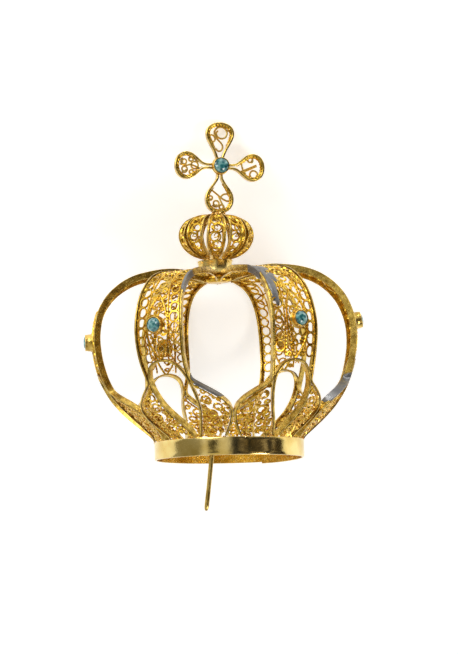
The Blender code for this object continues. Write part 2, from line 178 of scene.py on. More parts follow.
# ---- collecting one piece's faces ----
class Piece:
    def __init__(self, name, seed=1):
        self.name, self.rng = name, np.random.default_rng(seed)
        self.points, self.faces, self.count = [], [], 0

    def add(self, points, faces, smooth=True, slot=0):
        self.points.append(points.reshape(-1, 3))
        self.faces += [(f + self.count, smooth, slot) for f in faces]
        self.count += len(self.points[-1])

    def rows(self, grid, closed=False, caps=True, smooth=True, slot=0):
        """grid: rows x ring x 3. Joins each ring to the next."""
        n, k = grid.shape[:2]
        i = np.arange(n if closed else n - 1)[:, None]
        j = np.arange(k)[None]
        a, b = i * k, ((i + 1) % n) * k
        quads = np.stack(np.broadcast_arrays(a + j, a + (j + 1) % k, b + (j + 1) % k, b + j), -1).reshape(-1, 4)
        faces = [quads]
        if caps and not closed:
            faces += [np.arange(k)[::-1][None], ((n - 1) * k + np.arange(k))[None]]
        self.add(grid, faces, smooth, slot)

    def make(self, materials, replaces, angle=40):
        points = np.concatenate(self.points) @ LAY_R.T + LAY_T
        loops = np.concatenate([f.reshape(-1) for f, _, _ in self.faces])
        sizes = np.concatenate([np.full(len(f), f.shape[1]) for f, _, _ in self.faces])
        smooth = np.concatenate([np.full(len(f), s) for f, s, _ in self.faces])
        index = np.concatenate([np.full(len(f), m) for f, _, m in self.faces])
        mesh = bpy.data.meshes.new(self.name)
        mesh.vertices.add(len(points))
        mesh.vertices.foreach_set("co", (points * 0.001).astype(np.float32).reshape(-1))
        mesh.loops.add(len(loops))
        mesh.loops.foreach_set("vertex_index", loops.astype(np.int32))
        mesh.polygons.add(len(sizes))
        mesh.polygons.foreach_set("loop_start", (np.cumsum(sizes) - sizes).astype(np.int32))
        mesh.update(calc_edges=True)
        mesh.polygons.foreach_set("use_smooth", smooth)
        mesh.polygons.foreach_set("material_index", index.astype(np.int32))
        mesh.validate()
        mesh.update()
        # every closed shell faces outwards
        import bmesh
        bm = bmesh.new()
        bm.from_mesh(mesh)
        bmesh.ops.recalc_face_normals(bm, faces=bm.faces)
        bm.to_mesh(mesh)
        bm.free()
        mesh.set_sharp_from_angle(angle=math.radians(angle))
        for m in materials:
            mesh.materials.append(m)
        obj = bpy.data.objects.new(self.name, mesh)
        bpy.context.scene.collection.objects.link(obj)
        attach(obj, "root")
        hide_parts(*replaces)
        return obj


def round_section(radius, sides=6, flat=1.0, turn=0.0):
    a = np.arange(sides) * 2 * math.pi / sides + turn
    return np.stack([radius * np.cos(a), radius * flat * np.sin(a)], -1)


def strip_section(thick, depth0, depth1, c=0.1):
    h = thick / 2
    return np.array([
        (-h, depth0 + c), (-h + c, depth0 + c * 0.25), (0, depth0), (h - c, depth0 + c * 0.25), (h, depth0 + c),
        (h, (depth0 + depth1) / 2), (h, depth1 - c), (h - c, depth1), (-h + c, depth1), (-h, depth1 - c),
        (-h, (depth0 + depth1) / 2),
    ])


def directions(path, closed):
    if closed:
        d = np.roll(path, -1, 0) - np.roll(path, 1, 0)
    else:
        d = np.gradient(path, axis=0)
    return d / (np.linalg.norm(d, axis=1, keepdims=True) + 1e-9)


def wire(piece, place, path, depth, section, closed=False, taper=None, twist=None, slot=0, uneven=0.0):
    """Sweeps a section along a path in the sheet. place turns (across, along, depth) into the crown's frame."""
    path = np.asarray(path, float)
    t = directions(path, closed)
    normal = np.stack([t[:, 1], -t[:, 0]], -1)
    a = np.broadcast_to(section[None, :, 0], (len(path), len(section))).copy()
    b = np.broadcast_to(section[None, :, 1], (len(path), len(section))).copy()
    scale = np.ones(len(path)) if taper is None else np.asarray(taper, float)
    a *= scale[:, None]
    b *= scale[:, None]
    if twist:
        run = np.concatenate([[0], np.cumsum(np.linalg.norm(np.diff(path, axis=0), axis=1))])
        angle = np.arctan2(section[:, 1], section[:, 0])[None] * 2 - run[:, None] * 2 * math.pi / twist
        bulge = 1 + 0.2 * np.cos(angle)
        a *= bulge
        b *= bulge
    if uneven:
        run = np.linspace(0, 1, len(path))
        wob = sum(
            np.sin(run * 2 * math.pi * f + piece.rng.uniform(0, 6.28)) * w
            for f, w in ((3, 0.5), (7, 0.35), (13, 0.25), (29, 0.2))
        ) * uneven
        b = b + wob[:, None]
    depth = np.broadcast_to(np.asarray(depth, float), (len(path),))
    u = path[:, 0:1] + normal[:, 0:1] * a
    s = path[:, 1:2] + normal[:, 1:2] * a
    piece.rows(place(u, s, depth[:, None] + b), closed=closed, slot=slot)


ICO = None


def granules(piece, place, spots, radii, depths, slot=0):
    """Tiny grains, each a rough little ball."""
    global ICO
    if ICO is None:
        g = (1 + 5**0.5) / 2
        v = np.array([
            (-1, g, 0), (1, g, 0), (-1, -g, 0), (1, -g, 0), (0, -1, g), (0, 1, g), (0, -1, -g), (0, 1, -g),
            (g, 0, -1), (g, 0, 1), (-g, 0, -1), (-g, 0, 1),
        ]) / math.hypot(1, g)
        f = np.array([
            (0, 11, 5), (0, 5, 1), (0, 1, 7), (0, 7, 10), (0, 10, 11), (1, 5, 9), (5, 11, 4), (11, 10, 2),
            (10, 7, 6), (7, 1, 8), (3, 9, 4), (3, 4, 2), (3, 2, 6), (3, 6, 8), (3, 8, 9), (4, 9, 5),
            (2, 4, 11), (6, 2, 10), (8, 6, 7), (9, 8, 1),
        ])
        ICO = v, f
    v, f = ICO
    centres = place(spots[:, 0], spots[:, 1], depths)
    rng = piece.rng
    q = rng.normal(size=(len(spots), 4))
    q /= np.linalg.norm(q, axis=1, keepdims=True)
    w, x, y, z = q.T
    turn = np.stack([
        1 - 2 * (y * y + z * z), 2 * (x * y - w * z), 2 * (x * z + w * y),
        2 * (x * y + w * z), 1 - 2 * (x * x + z * z), 2 * (y * z - w * x),
        2 * (x * z - w * y), 2 * (y * z + w * x), 1 - 2 * (x * x + y * y),
    ], -1).reshape(-1, 3, 3)
    stretch = rng.uniform(0.8, 1.2, (len(spots), 12, 1))
    points = centres[:, None] + np.einsum("nij,kj->nki", turn, v) * radii[:, None, None] * stretch
    faces = (f[None] + 12 * np.arange(len(spots))[:, None, None]).reshape(-1, 3)
    piece.add(points, [faces], smooth=False, slot=slot)


def circle(centre, radius, count, start=0.0, turns=1.0, inner=None):
    """A ring, or with inner a scroll that curls in to that share of its radius."""
    t = np.linspace(0, 1, count, endpoint=inner is not None)
    a = start + t * turns * 2 * math.pi
    r = radius if inner is None else radius * (1 - (1 - inner) * t)
    return np.stack([centre[0] + r * np.cos(a), centre[1] + r * np.sin(a)], -1)


def pack(rng, inside, box, radii, tries, taken=(), gap=-0.03):
    """Circles thrown into a region, big ones first, that touch but don't cross."""
    spots = [list(t) for t in taken]
    own = []
    for radius, count in zip(radii, tries):
        cand = rng.uniform((box[0], box[2]), (box[1], box[3]), (count, 2))
        cand = cand[inside(cand[:, 0], cand[:, 1], radius)]
        for u, s in cand:
            if spots:
                arr = np.array(spots)
                if (np.hypot(arr[:, 0] - u, arr[:, 1] - s) < arr[:, 2] + radius + gap).any():
                    continue
            spots.append([u, s, radius])
            own.append((u, s, radius))
    return own


def fill(piece, place, circles, depth, wire_r, slot=0, mirror=None, mid=None):
    """Turns packed circles into rings and scrolls of fine wire."""
    rng = piece.rng
    for u, s, r in circles:
        start = rng.uniform(0, 6.28)
        kind = rng.uniform()
        sides = [1] if mirror is None or abs(u) < 0.25 * r else [1, -1]
        wr = wire_r * rng.uniform(0.9, 1.12)
        rr = max(r - wr * 0.75, wr * 0.9)
        d = depth + rng.uniform(-0.07, 0.07)
        count = int(max(9, min(26, rr * 17)))
        for side in sides:
            if kind < 0.42:
                path = circle((u, s), rr, count)
                shut = True
            else:
                path = circle((u, s), rr, int(count * 1.5), start, 1.3 if rr > 0.6 else 1.1, 0.5)
                shut = False
            path = path * (side, 1)
            if mid is not None:
                path = path + np.stack([mid(path[:, 1]), 0 * path[:, 1]], -1)
            wire(piece, place, path, d, round_section(wr, 6, 0.95), closed=shut, slot=slot)


def patch(piece, place, centre, size, depths, ragged=0.15, slot=0, rings=5, spokes=28):
    """A smooth puddle of solder lying over the wires."""
    rng = piece.rng
    a = np.arange(spokes) * 2 * math.pi / spokes
    edge = 1 + ragged * (np.sin(3 * a + rng.uniform(0, 6)) * 0.6 + np.sin(5 * a + rng.uniform(0, 6)) * 0.4 + np.sin(9 * a) * 0.3)
    grid = []
    for k in range(rings + 1):
        f = math.sin(k / rings * math.pi / 2)
        top = depths[0] + (depths[1] - depths[0]) * 0.5 * (1 - math.cos(k / rings * math.pi / 2))
        grid.append((f, top))
    for k in range(rings - 1, -1, -1):
        f = math.sin(k / rings * math.pi / 2)
        grid.append((f, depths[1] + 0.0 * f))
    rows = []
    for f, d in grid:
        f = max(f, 0.02)
        rows.append(place(centre[0] + size[0] * f * edge * np.cos(a), centre[1] + size[1] * f * edge * np.sin(a), np.full(spokes, d)))
    piece.rows(np.stack(rows), slot=slot)


# ---- finishes ----
def gold(name, deep, bright, rough, scale, bump, spot=0.0, metal_tint=None):
    mat = bpy.data.materials.new(name)
    mat.use_nodes = True
    nodes, links = mat.node_tree.nodes, mat.node_tree.links
    shader = nodes["Principled BSDF"]
    shader.inputs["Metallic"].default_value = 1.0
    shader.inputs["Specular IOR Level"].default_value = 0.5
    where = nodes.new("ShaderNodeTexCoord")
    broad = nodes.new("ShaderNodeTexNoise")
    broad.inputs["Scale"].default_value = scale * 0.22
    broad.inputs["Detail"].default_value = 4
    fine = nodes.new("ShaderNodeTexNoise")
    fine.inputs["Scale"].default_value = scale
    fine.inputs["Detail"].default_value = 6
    fine.inputs["Roughness"].default_value = 0.65
    for n in (broad, fine):
        links.new(where.outputs["Object"], n.inputs["Vector"])
    ramp = nodes.new("ShaderNodeValToRGB")
    ramp.color_ramp.elements[0].position, ramp.color_ramp.elements[0].color = 0.34, (*deep, 1)
    ramp.color_ramp.elements[1].position, ramp.color_ramp.elements[1].color = 0.64, (*bright, 1)
    links.new(broad.outputs["Fac"], ramp.inputs["Fac"])
    colour = ramp.outputs["Color"]
    if spot:
        pale = nodes.new("ShaderNodeMix")
        pale.data_type = "RGBA"
        pale.inputs["B"].default_value = (*(metal_tint or (1.0, 0.86, 0.66)), 1)
        cut = nodes.new("ShaderNodeMapRange")
        cut.inputs["From Min"].default_value, cut.inputs["From Max"].default_value = 0.54, 0.66
        cut.inputs["To Max"].default_value = spot
        links.new(fine.outputs["Fac"], cut.inputs["Value"])
        links.new(cut.outputs["Result"], pale.inputs["Factor"])
        links.new(colour, pale.inputs["A"])
        colour = pale.outputs["Result"]
    links.new(colour, shader.inputs["Base Color"])
    range_ = nodes.new("ShaderNodeMapRange")
    range_.inputs["From Min"].default_value, range_.inputs["From Max"].default_value = 0.3, 0.7
    range_.inputs["To Min"].default_value, range_.inputs["To Max"].default_value = rough[0], rough[1]
    links.new(fine.outputs["Fac"], range_.inputs["Value"])
    links.new(range_.outputs["Result"], shader.inputs["Roughness"])
    relief = nodes.new("ShaderNodeBump")
    relief.inputs["Strength"].default_value = bump
    relief.inputs["Distance"].default_value = 0.0001
    links.new(fine.outputs["Fac"], relief.inputs["Height"])
    links.new(relief.outputs["Normal"], shader.inputs["Normal"])
    return mat


GOLD_BAND = gold("gold_band_polished", (0.66, 0.46, 0.11), (0.90, 0.71, 0.29), (0.06, 0.18), 700, 0.22)
GOLD_STRIP = gold("gold_strip", (0.34, 0.21, 0.030), (0.82, 0.57, 0.12), (0.10, 0.32), 3000, 0.55, 0.28, (1.0, 0.82, 0.45))
GOLD_WIRE = gold("gold_filigree_wire", (0.50, 0.26, 0.010), (0.90, 0.60, 0.075), (0.12, 0.32), 3000, 0.26, 0.30, (1.0, 0.80, 0.38))
GOLD_GRAIN = gold("gold_grain", (0.84, 0.48, 0.08), (1.0, 0.74, 0.30), (0.08, 0.22), 3000, 0.15, 0.6, (1.0, 0.86, 0.66))
GOLD_ORB = gold("gold_orb_wire", (0.62, 0.34, 0.012), (0.96, 0.68, 0.085), (0.12, 0.32), 3000, 0.26, 0.30, (1.0, 0.82, 0.38))
# painted light: a paler gold than the other wire, so the cross's scroll wires look lit where they sit in shade
GOLD_SCROLL_PAINTED_LIGHT = gold("gold_scroll_wire_painted_light", (0.90, 0.58, 0.12), (1.0, 0.78, 0.28), (0.28, 0.42), 2000, 0.15)
GOLD_INNER = gold("gold_band_inside", (0.66, 0.38, 0.025), (0.95, 0.64, 0.11), (0.16, 0.36), 1500, 0.9, 0.3)
GOLD_SETTING = gold("gold_bezel", (0.50, 0.31, 0.05), (0.88, 0.62, 0.18), (0.12, 0.28), 1500, 0.25)
GOLD_COLLAR = gold("gold_collar", (0.66, 0.46, 0.11), (0.95, 0.74, 0.28), (0.10, 0.24), 1400, 0.7, 0.2)
GOLD_PIN = gold("gold_pin_wire", (0.46, 0.30, 0.06), (0.78, 0.56, 0.17), (0.12, 0.28), 1800, 0.12)
# painted shade: this dark colour goes on wires laid in the seams beside the strips, where the gaps fall in shadow
SEAM_PAINTED_SHADE = gold("dark_seam_painted_shade", (0.07, 0.040, 0.010), (0.26, 0.15, 0.03), (0.3, 0.5), 1500, 0.3)
SOLDER = gold("grey_solder_gilt", (0.145, 0.146, 0.150), (0.25, 0.245, 0.235), (0.22, 0.40), 1200, 0.5)


def stone_finish():
    mat = bpy.data.materials.new("teal_cut_stone")
    mat.use_nodes = True
    nodes, links = mat.node_tree.nodes, mat.node_tree.links
    shader = nodes["Principled BSDF"]
    shader.inputs["Metallic"].default_value = 0.0
    shader.inputs["IOR"].default_value = 1.75
    shader.inputs["Coat Weight"].default_value = 0.6
    shader.inputs["Coat Roughness"].default_value = 0.03
    where = nodes.new("ShaderNodeTexCoord")
    cells = nodes.new("ShaderNodeTexVoronoi")
    cells.inputs["Scale"].default_value = 1100
    noise = nodes.new("ShaderNodeTexNoise")
    noise.inputs["Scale"].default_value = 700
    noise.inputs["Detail"].default_value = 3
    for n in (cells, noise):
        links.new(where.outputs["Object"], n.inputs["Vector"])
    mix = nodes.new("ShaderNodeMix")
    mix.data_type = "FLOAT"
    mix.inputs["Factor"].default_value = 0.5
    links.new(cells.outputs["Distance"], mix.inputs["A"])
    links.new(noise.outputs["Fac"], mix.inputs["B"])
    ramp = nodes.new("ShaderNodeValToRGB")
    ramp.color_ramp.elements[0].position, ramp.color_ramp.elements[0].color = 0.28, (0.006, 0.050, 0.062, 1)
    ramp.color_ramp.elements[1].position, ramp.color_ramp.elements[1].color = 0.72, (0.28, 0.52, 0.49, 1)
    middle = ramp.color_ramp.elements.new(0.46)
    middle.color = (0.028, 0.175, 0.185, 1)
    links.new(mix.outputs["Result"], ramp.inputs["Fac"])
    links.new(ramp.outputs["Color"], shader.inputs["Base Color"])
    rough = nodes.new("ShaderNodeMapRange")
    rough.inputs["To Min"].default_value, rough.inputs["To Max"].default_value = 0.04, 0.12
    links.new(noise.outputs["Fac"], rough.inputs["Value"])
    links.new(rough.outputs["Result"], shader.inputs["Roughness"])
    return mat


STONE = stone_finish()


# ---- arches ----
def bent_profile(bulge, press):
    points = []
    for r, z in ARCH_PROFILE:
        belly = math.sin(math.pi * min(max((z - BAND_HEIGHT) / 44, 0), 1))
        crest = float(smoothstep((r - 5) / 4) * (1 - smoothstep((r - 16) / 14))) if z > 30 else 0
        points.append((r + bulge * belly, z - press * crest))
    return Meridian(points)


def arch_placer(arch):
    line = arch["line"]

    def place(u, s, depth):
        s = s + arch["waist"] * np.exp(-(((s - 50) / 7) ** 2))
        r, z, nr, nz = line.at(s)
        turn = smoothstep((s - 45) / 14)
        a = np.radians(arch["azimuth"] * (1 - turn) + arch["foot"] * turn) + u / r
        rr, zz = r - depth * nr, z - depth * nz
        return lean(rr * np.sin(a), -rr * np.cos(a), zz)

    return place


def make_arch(index, arch):
    piece = Piece(f"arch_{index}_filigree", 100 + index)
    rng = piece.rng
    place = arch_placer(arch)
    length = arch["line"].length

    def middle(s):
        return math.radians(arch["window"]) * smoothstep((s - 50) / 24) * arch["line"].r(s)

    half = STRIP_T / 2
    # outline strips
    for side in (-1, 1):
        s = np.concatenate([np.arange(0.1, 52, 0.5), np.arange(52, length, 0.3), [length]])
        path = np.stack([side * (width_at(s) - half), s], -1)
        wire(piece, place, path, 0, strip_section(STRIP_T, 0.02, STRIP_DEPTH), slot=1, uneven=0.03)
        # the sheath wire soldered inside it
        s2 = np.arange(2.0, 53, 0.22)
        path = np.stack([side * (width_at(s2) - STRIP_T - 0.2), s2], -1)
        wire(piece, place, path, 0.5, round_section(0.23, 6), twist=0.9)
        # a dark wire lies in the seam beside the strip: painted shade for the shadowed gap there
        s3 = np.arange(1.0, length, 0.4)
        path = np.stack([side * (width_at(s3) - STRIP_T - 0.03), s3], -1)
        wire(piece, place, path, 0.16, round_section(0.14, 5), slot=4, uneven=0.03)
    # window strip, point to crest to point
    s = np.concatenate([[48.45, 48.6, 48.9, 49.3, 49.8], np.arange(50.5, length, 0.6), [length]])
    right = np.stack([window_at(s) - half, s], -1)
    right[:, 0] = np.maximum(right[:, 0], 0.28)
    path = np.concatenate([(right * (-1, 1))[::-1], [[-0.9, 48.33], [0.0, 48.3], [0.9, 48.33]], right])
    path = path[np.concatenate([[True], np.linalg.norm(np.diff(path, axis=0), axis=1) > 0.02])]
    path[:, 0] += middle(path[:, 1])
    path[:, 1] += 0.27
    path[:, 1] = np.minimum(path[:, 1], length)
    wire(piece, place, path, 0, strip_section(STRIP_T, 0.02, STRIP_DEPTH), slot=1, uneven=0.02)

    # a dark wire in the seam beside the window strip: painted shade for the shadowed gap
    seam = path.copy()
    lift = np.stack([directions(path, False)[:, 1], -directions(path, False)[:, 0]], -1)
    seam += lift * (half + 0.05)
    seam[:, 1] = np.minimum(seam[:, 1], length)
    wire(piece, place, seam, 0.16, round_section(0.13, 5), slot=4, uneven=0.03)

    # inner parallel wires with a column of round loops along each edge
    rail_from = 21.0
    s = np.arange(rail_from - 6, 48.0, 0.24)
    for side in (-1, 1):
        inset = 3.1 * smoothstep((s - rail_from + 6) / 7) + 0.35
        path = np.stack([side * (width_at(s) - STRIP_T - inset + 0.2), s], -1)
        wire(piece, place, path, 0.6, round_section(0.24, 6, 1.2), twist=0.85)
        at = rail_from - 2.4
        while at < 47.6:
            r = 1.4 + rng.uniform(-0.12, 0.1)
            c = (side * (float(width_at(at)) - STRIP_T - r - 0.08), at)
            path = (circle((0, 0), r - 0.1, 24) + rng.normal(0, 0.03, (24, 2))) * (rng.uniform(0.8, 1.0), rng.uniform(0.92, 1.06)) + c
            wire(piece, place, path, 0.6, round_section(0.25, 6, 1.4), closed=True)
            at += 2 * r - 0.12
    # pointed oval round the stone
    stone_s = STONE_S + arch["stone_s"]
    stone_u = arch["stone_u"]
    t = np.linspace(0, 1, 60)
    top, low = stone_s - 8.2, 48.35
    oval_s = top + (low - top) * t
    bell = np.sin(math.pi * t) ** 0.8 * 3.05
    for side in (-1, 1):
        path = np.stack([side * np.maximum(bell, 0.12) + stone_u * np.sin(math.pi * t), oval_s], -1)
        wire(piece, place, path, 0.45, round_section(0.28, 6, 1.3), twist=0.9)

    def oval_half(s):
        f = np.clip((s - top) / (low - top), 0, 1)
        return np.sin(math.pi * f) ** 0.8 * 3.05

    # filling above the window, the same on both sides of the middle
    def inside_upper(u, s, r):
        edge = width_at(s) - STRIP_T - (0.35 + 2.95 * smoothstep((s - rail_from + 6) / 7))
        ok = (u + r < edge) & (s - r > 1.5) & (s + r < 48.2) & ((u > r) | (u < 0.05))
        oval = oval_half(s)
        near = (s > top - 0.3) & (u - r < oval + 0.15)
        return ok & ~near

    axis = [(0.0, a, 1.15) for a in np.arange(9.5, top - 1.2, 2.9)]
    found = pack(rng, inside_upper, (0, 4.2, 2, 48), (1.6, 1.3, 1.0, 0.75, 0.5), (300, 500, 600, 500, 120), taken=axis)
    fill(piece, place, axis, 0.68, 0.27)
    fill(piece, place, found, 0.64, 0.3, mirror=True)

    # inside the oval: small scrolls and grains round the setting
    def inside_oval(u, s, r):
        hyp = np.hypot(u - stone_u, s - stone_s)
        return (np.abs(u - stone_u) + r < oval_half(s) - 0.15) & (s > top + 0.8) & (s < low - 0.7) & (hyp > COLLET_BASE_R + r * 0.7)

    found2 = pack(rng, inside_oval, (-3.4, 3.4, top, low), (1.15, 0.85, 0.55), (400, 500, 130))
    fill(piece, place, found2, 0.64, 0.26)

    # a long curling wire runs behind the scrolls and holds them
    for k in range(1):
        s = np.arange(6, top - 1, 0.35)
        phase = k * 2.1
        reach = width_at(s) - STRIP_T - 0.6
        path = np.stack([reach * np.sin(s * (0.52 + 0.05 * k) + phase) * 0.93, s], -1)
        wire(piece, place, path, 1.0, round_section(0.2, 5))

    # lobes beside the window
    def edges(s):
        return width_at(s) - STRIP_T, window_at(s) + 0.15

    for side in (-1, 1):
        def inside_lobe(u, s, r):
            out_, in_ = edges(s)
            o2, i2 = edges(s + r)
            o3, i3 = edges(s - r)
            m = side * middle(s)
            return (u + r < np.minimum(np.minimum(out_, o2), o3) + 0.05) & (u - r > np.maximum(np.maximum(in_, i2), i3) + m - 0.05) & (s > 54.2) & (s + r < length - 0.1)

        found3 = pack(rng, inside_lobe, (0.6, 13, 54, length), (1.55, 1.25, 0.95, 0.7, 0.5), (400, 700, 900, 900, 500))
        mirrored = [(side * u, s, r) for u, s, r in found3]
        fill(piece, place, mirrored, 0.62, 0.29)
        # a second layer behind closes the lower half
        behind = [c for c in pack(rng, inside_lobe, (0.6, 13, 60, length), (1.0, 0.75, 0.52), (500, 700, 500)) if rng.uniform() < (c[1] - 59.5) / 6]
        fill(piece, place, [(side * u, s, r) for u, s, r in behind], 1.02, 0.26)
        # a second strip follows the shoulder of the lobe
        s = np.arange(54.6, 60.5, 0.25)
        path = np.stack([side * (np.maximum(width_at(s) - 1.7, window_at(s) + 0.4)), s], -1)
        wire(piece, place, path, 0.45, round_section(0.2, 6, 1.3), twist=0.9)
        # grains
        n = 110
        u = rng.uniform(0.8, 12.5, n * 4)
        s = rng.uniform(56, length - 0.4, n * 4)
        keep = inside_lobe(u, s, 0.2)
        u, s = (u[keep] * side)[:n], s[keep][:n]
        granules(piece, place, np.stack([u, s], -1), rng.uniform(0.14, 0.27, len(u)), rng.uniform(0.28, 0.6, len(u)), slot=2)

    # grains over the scrolls, thick below the stone
    u = rng.uniform(-4.3, 4.3, 1200)
    s = rng.uniform(3, 48, 1200)
    keep = (np.abs(u) < width_at(s) - 1.0) & (np.hypot(u - stone_u, s - stone_s) > COLLET_BASE_R + 0.1)
    weight = np.where(s > stone_s + 3, 0.14, 0.05)
    keep &= rng.uniform(0, 1, 1200) < weight
    granules(piece, place, np.stack([u[keep], s[keep]], -1), rng.uniform(0.12, 0.24, keep.sum()), rng.uniform(0.3, 0.65, keep.sum()), slot=2)
    spots = []
    for u, s, r in found2 + found:
        if r < 0.6:
            spots.append((u, s))
    spots = np.array(spots)
    granules(piece, place, spots, rng.uniform(0.15, 0.24, len(spots)), np.full(len(spots), 0.52), slot=2)

    def sleeve(side, low, high, proud=0.07):
        """A stretch of the outline strip left grey by solder, its ends ragged."""
        section = strip_section(STRIP_T + 2 * proud, -proud, STRIP_DEPTH + proud)
        k = len(section)
        turn = np.arange(k) * 2 * math.pi / k
        starts = low + 0.9 * np.sin(turn + rng.uniform(0, 6)) + rng.uniform(-0.5, 0.5, k)
        ends = high + 0.9 * np.sin(turn + rng.uniform(0, 6)) + rng.uniform(-0.5, 0.5, k)
        rows = []
        for t in np.linspace(0, 1, int((high - low) / 0.3) + 2):
            s = starts + (ends - starts) * t
            shrink = 1 - 0.03 * max(0.0, 1 - min(t, 1 - t) * 14)
            across = np.sqrt(1 + ((width_at(s + 0.15) - width_at(s - 0.15)) / 0.3) ** 2)
            rows.append(place(side * (width_at(s) - half) + section[:, 0] * shrink * across, s, section[:, 1]))
        piece.rows(np.stack(rows), slot=3)

    # solder that ran smooth, where the hand-work left it
    if index == 2:
        sleeve(1, 21.5, 29)
        sleeve(1, 53.8, 58.4, 0.06)
    if index == 3:
        patch(piece, place, (-4.5, 28.5), (1.2, 7.2), (0.1, 0.95), slot=3)
        patch(piece, place, (-3.6, 21.0), (2.0, 3.4), (0.16, 0.95), 0.25, slot=3)
        patch(piece, place, (-3.2, 26.2), (1.6, 2.3), (0.2, 0.95), 0.3, slot=3)
        sleeve(-1, 19, 25)
    if index == 4:
        sleeve(-1, 52.4, 60.5)
    return piece.make((GOLD_WIRE, GOLD_STRIP, GOLD_GRAIN, SOLDER, SEAM_PAINTED_SHADE), (f"arch_{index}",))


# ---- turned pieces ----
def turned(name, profile, matrix, steps, materials, node, wobble=0.0, seed=1, angle=40):
    """profile: (radius, height) from the bottom's middle round to the top's; the ends are flat caps."""
    piece = Piece(name, seed)
    profile = np.array([p for p in profile if p[0] > 0], float)
    a = np.arange(steps) * 2 * math.pi / steps
    r = profile[:, 0:1] * np.ones(steps)
    if wobble:
        r = r * (1 + wobble * (np.sin(a * 3 + 1) + 0.6 * np.sin(a * 5 + 2) + 0.4 * np.sin(a * 11))[None])
    grid = np.stack([np.maximum(r, 1e-3) * np.cos(a), np.maximum(r, 1e-3) * np.sin(a), profile[:, 1:2] * np.ones(steps)], -1)
    m = np.array(matrix)
    piece.rows(grid @ m[:3, :3].T + m[:3, 3])
    return piece.make(materials, (node,), angle)


def frame_matrix(origin, normal, up):
    z = Vector(normal).normalized()
    x = Vector(up).cross(z).normalized()
    y = z.cross(x)
    m = Matrix((x, y, z)).transposed().to_4x4()
    m.translation = Vector(origin)
    return m


def make_setting(label, matrix, base_r, top_r, height, stone_r, seed):
    floor = height - 1.3
    turned(
        f"{label}_bezel",
        [
            (0, 0), (base_r - 0.1, 0), (base_r, 0.1), (base_r - 0.04, 0.32), (base_r - 0.2, 0.45),
            (base_r - 0.24, height * 0.6), (top_r - 0.05, height - 0.25), (top_r, height - 0.1), (top_r - 0.05, height - 0.01),
            (top_r - 0.12, height + 0.04), (stone_r + 0.09, height + 0.04), (stone_r + GAP, height - 0.02), (stone_r + GAP, height - 0.35), (stone_r + GAP, floor), (0, floor),
        ],
        matrix, 40, (GOLD_SETTING,), f"{label}_collet", 0.006, seed, 50,
    )
    piece = Piece(f"{label}_cut_stone", seed)
    m = np.array(matrix)
    r, z0 = stone_r * 0.985, floor + GAP

    def ring(count, radius, z, turn=0.0):
        a = (np.arange(count) + turn) * 2 * math.pi / count
        return np.stack([radius * np.cos(a), radius * np.sin(a), np.full(count, z)], -1)

    table, star = ring(8, r * 0.52, height + 0.42), ring(8, r * 0.78, height + 0.24, 0.5)
    girdle, under, culet = ring(16, r * 0.985, height - 0.04), ring(16, r, height - 0.26), ring(16, r * 0.5, z0)
    points = np.concatenate([table, star, girdle, under, culet])
    faces3, faces4 = [], []
    for k in range(8):
        n = (k + 1) % 8
        faces3.append((k, n, 8 + k))
        faces4.append((k, 8 + k, 16 + 2 * k, 8 + (k - 1) % 8))
        faces3.append((8 + k, 16 + 2 * k, 16 + 2 * k + 1))
        faces3.append((8 + k, 16 + 2 * k + 1, 16 + (2 * k + 2) % 16))
    for base in (16, 32):
        for k in range(16):
            n = (k + 1) % 16
            faces4.append((base + k, base + 16 + k, base + 16 + n, base + n))
    faces = [np.array(faces3), np.array(faces4), np.arange(8)[None], np.arange(48, 64)[None]]
    piece.add(points @ m[:3, :3].T + m[:3, 3], faces, smooth=False)
    piece.make((STONE,), (f"{label}_stone",), 5)


def arch_setting(index, arch):
    s = np.array(STONE_S + arch["stone_s"])
    r, z, nr, nz = (float(v) for v in arch["line"].at(s))
    a = math.radians(arch["azimuth"]) + arch["stone_u"] / r
    base = r - (WEB_OUT - GAP) * nr, z - (WEB_OUT - GAP) * nz
    origin = lean(np.array(base[0] * math.sin(a)), np.array(-base[0] * math.cos(a)), np.array(base[1]))
    tip = lean(np.array((base[0] + nr) * math.sin(a)), np.array(-(base[0] + nr) * math.cos(a)), np.array(base[1] + nz))
    make_setting(f"arch_{index}", frame_matrix(origin, Vector(tip) - Vector(origin), (0, 0, 1)), COLLET_BASE_R, COLLET_TOP_R, COLLET_H, STONE_R, 300 + index)


